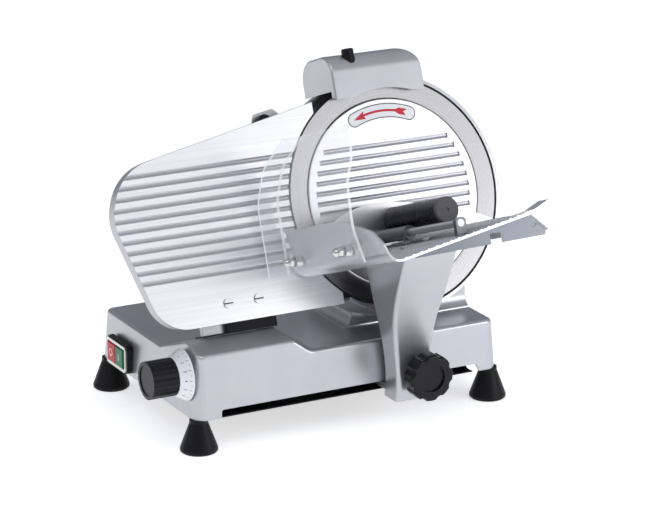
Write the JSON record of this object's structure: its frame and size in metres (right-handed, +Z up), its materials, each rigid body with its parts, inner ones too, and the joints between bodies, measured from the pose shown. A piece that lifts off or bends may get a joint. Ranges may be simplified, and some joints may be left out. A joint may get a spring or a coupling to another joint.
{
  "type": "deli meat slicer",
  "caption": "Countertop deli slicer with a tilted round blade, ribbed gauge plate set by a dial, and a sliding food tray with clear hand guard and pusher.",
  "frame": {"origin": "middle of the machine's bounding box, on the surface it stands on", "axes": "+X to the operator's right along the carriage's travel, +Y away from the operator, +Z up"},
  "size_m": [0.4611, 0.4308, 0.3907],
  "materials": {
    "cast_silver": "satin",
    "bright_aluminium": "brushed",
    "tray_aluminium": "satin",
    "blade_steel": "brushed",
    "machined_steel": "machined",
    "chrome": "polished",
    "black_rubber": "matte",
    "black_plastic": "satin",
    "dial_white": "gloss",
    "clear_plastic": "gloss",
    "red_plastic": "gloss",
    "green_plastic": "gloss",
    "stone_brown": "rough"
  },
  "bodies": {
    "frame": {"base_casting": "cast_silver", "blade_cover": "bright_aluminium", "blade_housing": "cast_silver", "bottom_cover": "black_plastic", "cover_screws": "machined_steel", "cover_tie_rod": "machined_steel", "drive_belt": "black_rubber", "foot_front_left": "black_rubber", "foot_front_right": "black_rubber", "foot_rear_left": "black_rubber", "foot_rear_right": "black_rubber", "foot_screws": "machined_steel", "gauge_rods": "machined_steel", "guide_rail": "machined_steel", "guide_rod": "machined_steel", "hub_bearings": "machined_steel", "motor_body": "black_plastic", "motor_cover": "cast_silver", "rear_cover": "cast_silver", "sharpener_hood": "cast_silver", "slice_deflector": "machined_steel", "stone_spindles": "machined_steel", "switch_bezel": "chrome", "switch_body": "black_plastic"},
    "blade": {"blade": "blade_steel", "blade_hub": "machined_steel", "blade_screws": "machined_steel"},
    "motor_rotor": {"motor_shaft": "machined_steel", "motor_pulley": "machined_steel"},
    "gauge": {"gauge_plate": "bright_aluminium", "gauge_screws": "machined_steel", "gauge_bracket": "cast_silver", "gauge_slide": "bright_aluminium", "ramp_seal": "black_rubber"},
    "dial": {"dial_knob": "black_plastic", "dial_scale": "dial_white", "dial_shaft": "machined_steel"},
    "carriage": {"carriage_slider": "bright_aluminium", "slide_shoe": "black_plastic", "carriage_arm": "cast_silver", "carriage_tray": "tray_aluminium", "tray_screws": "machined_steel", "hand_guard": "clear_plastic", "guard_spacers": "chrome", "guard_bolts": "machined_steel", "acorn_nuts": "chrome", "pusher_rod": "machined_steel", "rod_brackets": "machined_steel"},
    "carriage_lock": {"carriage_knob": "black_plastic"},
    "pusher": {"pusher_plate": "machined_steel", "pusher_sleeve": "machined_steel", "pusher_handle": "black_plastic", "handle_cap": "black_plastic"},
    "start_button": {"start_button": "green_plastic"},
    "stop_button": {"stop_button": "red_plastic"},
    "sharpener_plunger": {"sharpener_plunger": "black_plastic"},
    "grinding_stone": {"grinding_stone": "stone_brown"},
    "truing_stone": {"truing_stone": "stone_brown"},
    "cover_lock": {"cover_lock_knob": "black_plastic"},
    "deflector_lock": {"deflector_knob": "black_plastic"}
  },
  "joints": [
    {"name": "blade_spin", "type": "hinge", "parent": "frame", "child": "blade", "pos_m": [0.1002, 0.0172, 0.236], "axis": [0, -0.9397, 0.342], "continuous": true},
    {"name": "motor_spin", "type": "hinge", "parent": "frame", "child": "motor_rotor", "pos_m": [0.1002, 0.04964, 0.1497], "axis": [0, -0.9397, 0.342], "continuous": true},
    {"name": "dial_turn", "type": "hinge", "parent": "frame", "child": "dial", "pos_m": [-0.1842, -0.0115, 0.0805], "axis": [1, 0, 0], "range_deg": [0, 290]},
    {"name": "gauge_slide", "type": "slide", "parent": "frame", "child": "gauge", "axis": [0, 0.9397, -0.342], "range_m": [0, 0.012]},
    {"name": "carriage_slide", "type": "slide", "parent": "frame", "child": "carriage", "axis": [1, 0, 0], "range_m": [-0.15, 0.05]},
    {"name": "carriage_lock_turn", "type": "hinge", "parent": "carriage", "child": "carriage_lock", "pos_m": [0.0808, -0.091, 0.0625], "axis": [0, 1, 0], "continuous": true},
    {"name": "pusher_slide", "type": "slide", "parent": "carriage", "child": "pusher", "axis": [0, -0.9397, 0.342], "range_m": [0, 0.1]},
    {"name": "start_press", "type": "slide", "parent": "frame", "child": "start_button", "axis": [1, 0, 0], "range_m": [0, 0.002], "stiffness_N_per_m": 400, "springref_m": -0.001},
    {"name": "stop_press", "type": "slide", "parent": "frame", "child": "stop_button", "axis": [1, 0, 0], "range_m": [0, 0.002], "stiffness_N_per_m": 400, "springref_m": -0.001},
    {"name": "sharpener_press", "type": "slide", "parent": "frame", "child": "sharpener_plunger", "axis": [0, -0.342, -0.9397], "range_m": [0, 0.0025], "stiffness_N_per_m": 800, "springref_m": -0.001},
    {"name": "grinding_stone_spin", "type": "hinge", "parent": "frame", "child": "grinding_stone", "pos_m": [0.0662, 0.08029, 0.3567], "axis": [0, -0.9397, 0.342], "continuous": true},
    {"name": "truing_stone_spin", "type": "hinge", "parent": "frame", "child": "truing_stone", "pos_m": [0.1142, 0.08166, 0.36046], "axis": [0, -0.9397, 0.342], "continuous": true},
    {"name": "cover_lock_turn", "type": "hinge", "parent": "frame", "child": "cover_lock", "pos_m": [0.1002, 0.11117, 0.2018], "axis": [0, -0.9397, 0.342], "continuous": true},
    {"name": "deflector_lock_turn", "type": "hinge", "parent": "frame", "child": "deflector_lock", "pos_m": [-0.0188, 0.09617, 0.31261], "axis": [0, -0.9397, 0.342], "continuous": true}
  ],
  "couplings": [
    {"joint": "dial_turn", "follows": "gauge_slide", "rad_per_m": 421.78},
    {"joint": "motor_spin", "follows": "blade_spin", "ratio": 3.5}
  ]
}
